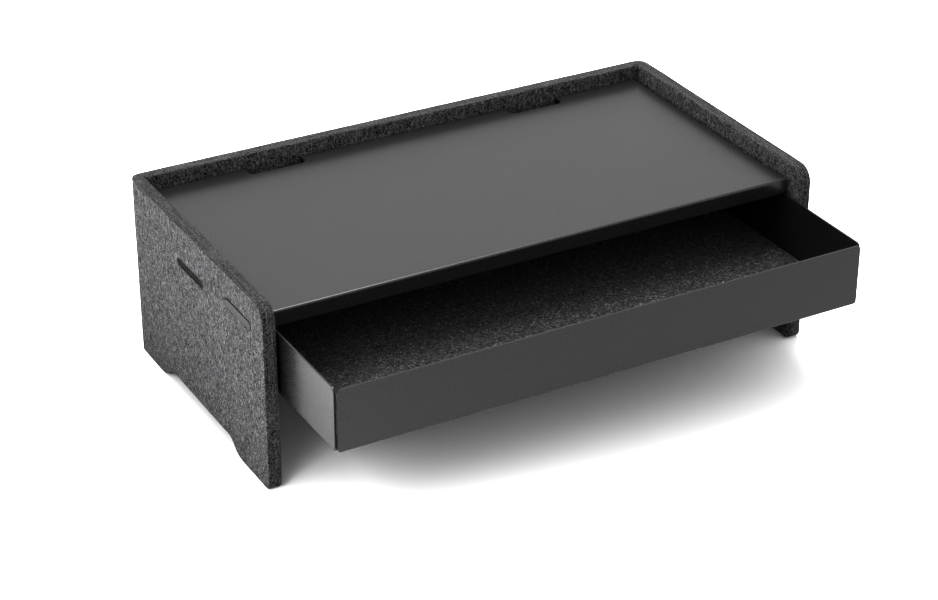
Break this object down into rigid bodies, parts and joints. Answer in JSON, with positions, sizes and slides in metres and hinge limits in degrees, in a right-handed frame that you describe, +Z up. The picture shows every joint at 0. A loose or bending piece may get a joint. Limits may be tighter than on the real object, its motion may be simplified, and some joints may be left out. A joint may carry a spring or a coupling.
{
  "type": "monitor riser stand",
  "caption": "Desk riser for a monitor: a felt wrap holds a folded steel shelf, with a shallow steel drawer that slides out under it.",
  "frame": {"origin": "on the floor, under the centre of the whole stand's box with the drawer 105 mm open, as at rest", "axes": "+X to the right seen from the front, +Y to the back, away from the side the drawer opens on, +Z up"},
  "size_m": [0.5, 0.351, 0.16],
  "materials": {
    "shell_felt": "thick grey melange felt",
    "liner_felt": "dark melange felt mat",
    "shelf_coating": "matte dark grey powder coat, fine texture",
    "drawer_coating": "matte dark grey powder coat, fine texture",
    "runner_coating": "matte dark grey powder coat",
    "glide_plastic": "natural acetal",
    "button_plastic": "black nylon",
    "bumper_rubber": "black rubber",
    "rivet_steel": "zinc plated"
  },
  "bodies": {
    "stand": {"felt_shell": "shell_felt", "shelf_panel": "shelf_coating", "runner_left": "runner_coating", "runner_right": "runner_coating", "glide_strip_left": "glide_plastic", "glide_strip_right": "glide_plastic", "guide_button_left_front": "button_plastic", "guide_button_left_rear": "button_plastic", "guide_button_right_front": "button_plastic", "guide_button_right_rear": "button_plastic", "rear_bumper_left": "bumper_rubber", "rear_bumper_right": "bumper_rubber", "rivet_left_front": "rivet_steel", "rivet_left_middle": "rivet_steel", "rivet_left_rear": "rivet_steel", "rivet_right_front": "rivet_steel", "rivet_right_middle": "rivet_steel", "rivet_right_rear": "rivet_steel"},
    "drawer": {"drawer_tray": "drawer_coating", "drawer_liner": "liner_felt", "stop_peg_left": "button_plastic", "stop_peg_right": "button_plastic"}
  },
  "joints": [
    {"name": "drawer_slide", "type": "slide", "parent": "stand", "child": "drawer", "axis": [0, -1, 0], "range_m": [-0.105, 0.045]}
  ]
}
